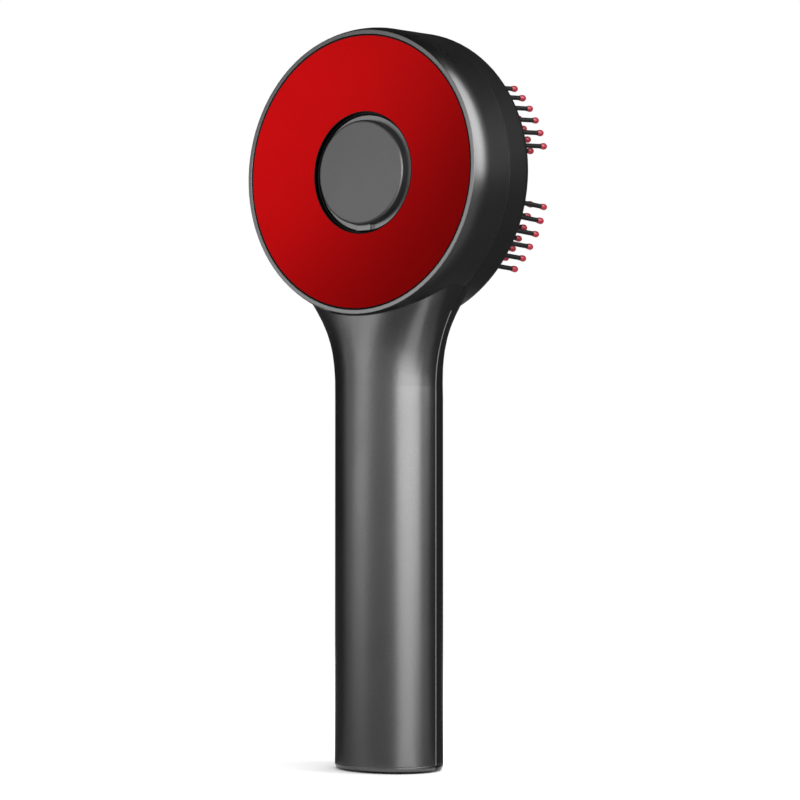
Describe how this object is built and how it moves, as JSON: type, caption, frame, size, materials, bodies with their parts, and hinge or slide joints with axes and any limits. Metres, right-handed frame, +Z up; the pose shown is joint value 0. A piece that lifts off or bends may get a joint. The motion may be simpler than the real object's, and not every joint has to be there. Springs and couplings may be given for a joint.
{
  "type": "scalp massage brush",
  "caption": "Hand-held scalp massage brush: oval handle, round head with a dished red back panel, a push button and retractable ball-tipped bristles in tilted segments.",
  "frame": {"origin": "centre of the flat end of the handle", "axes": "+Z up the handle to the head, +Y from the back panel towards the bristles, +X to the right seen from the back"},
  "size_m": [0.0862, 0.0438, 0.2165],
  "materials": {
    "gunmetal_shell": "metallic gunmetal coat, satin",
    "black_shell": "black satin",
    "red_panel": "red metallic lacquer, satin",
    "grey_button": "fine satin grey",
    "black_plastic": "moulded matte black",
    "pad_rubber": "soft matte rubber",
    "grip_rubber": "moulded ring",
    "bristle_nylon": "extruded nylon",
    "tip_red": "dipped gloss",
    "screw_steel": "zinc plated"
  },
  "bodies": {
    "housing": {"back_shell": "gunmetal_shell", "front_shell": "black_shell", "end_cap": "black_shell", "back_panel": "red_panel", "button_bezel": "black_plastic", "front_plate": "black_plastic", "grip_rings": "grip_rubber", "head_screws": "screw_steel", "air_pad_1": "pad_rubber", "air_pad_2": "pad_rubber", "air_pad_3": "pad_rubber", "air_pad_4": "pad_rubber", "air_pad_5": "pad_rubber", "air_pad_6": "pad_rubber"},
    "plunger": {"button": "grey_button", "plunger": "black_plastic", "front_button": "grey_button", "plunger_screw": "screw_steel"},
    "segment_1": {"bristle_plate_1": "black_plastic", "bristles_1": "bristle_nylon", "bristle_tips_1": "tip_red", "segment_screw_1": "screw_steel"},
    "segment_2": {"bristle_plate_2": "black_plastic", "bristles_2": "bristle_nylon", "bristle_tips_2": "tip_red", "segment_screw_2": "screw_steel"},
    "segment_3": {"bristle_plate_3": "black_plastic", "bristles_3": "bristle_nylon", "bristle_tips_3": "tip_red", "segment_screw_3": "screw_steel"},
    "segment_4": {"bristle_plate_4": "black_plastic", "bristles_4": "bristle_nylon", "bristle_tips_4": "tip_red", "segment_screw_4": "screw_steel"},
    "segment_5": {"bristle_plate_5": "black_plastic", "bristles_5": "bristle_nylon", "bristle_tips_5": "tip_red", "segment_screw_5": "screw_steel"},
    "segment_6": {"bristle_plate_6": "black_plastic", "bristles_6": "bristle_nylon", "bristle_tips_6": "tip_red", "segment_screw_6": "screw_steel"}
  },
  "joints": [
    {"name": "button_slide", "type": "slide", "parent": "housing", "child": "plunger", "axis": [0, -1, 0], "range_m": [0, 0.014]},
    {"name": "segment_1_slide", "type": "slide", "parent": "housing", "child": "segment_1", "axis": [-0.1055, -0.9925, -0.0609], "range_m": [0, 0.01411]},
    {"name": "segment_2_slide", "type": "slide", "parent": "housing", "child": "segment_2", "axis": [0, -0.9925, -0.1219], "range_m": [0, 0.01411]},
    {"name": "segment_3_slide", "type": "slide", "parent": "housing", "child": "segment_3", "axis": [0.1055, -0.9925, -0.0609], "range_m": [0, 0.01411]},
    {"name": "segment_4_slide", "type": "slide", "parent": "housing", "child": "segment_4", "axis": [0.1055, -0.9925, 0.0609], "range_m": [0, 0.01411]},
    {"name": "segment_5_slide", "type": "slide", "parent": "housing", "child": "segment_5", "axis": [0, -0.9925, 0.1219], "range_m": [0, 0.01411]},
    {"name": "segment_6_slide", "type": "slide", "parent": "housing", "child": "segment_6", "axis": [-0.1055, -0.9925, 0.0609], "range_m": [0, 0.01411]}
  ],
  "couplings": [
    {"joint": "segment_1_slide", "follows": "button_slide", "ratio": 1.0075},
    {"joint": "segment_2_slide", "follows": "button_slide", "ratio": 1.0075},
    {"joint": "segment_3_slide", "follows": "button_slide", "ratio": 1.0075},
    {"joint": "segment_4_slide", "follows": "button_slide", "ratio": 1.0075},
    {"joint": "segment_5_slide", "follows": "button_slide", "ratio": 1.0075},
    {"joint": "segment_6_slide", "follows": "button_slide", "ratio": 1.0075}
  ]
}
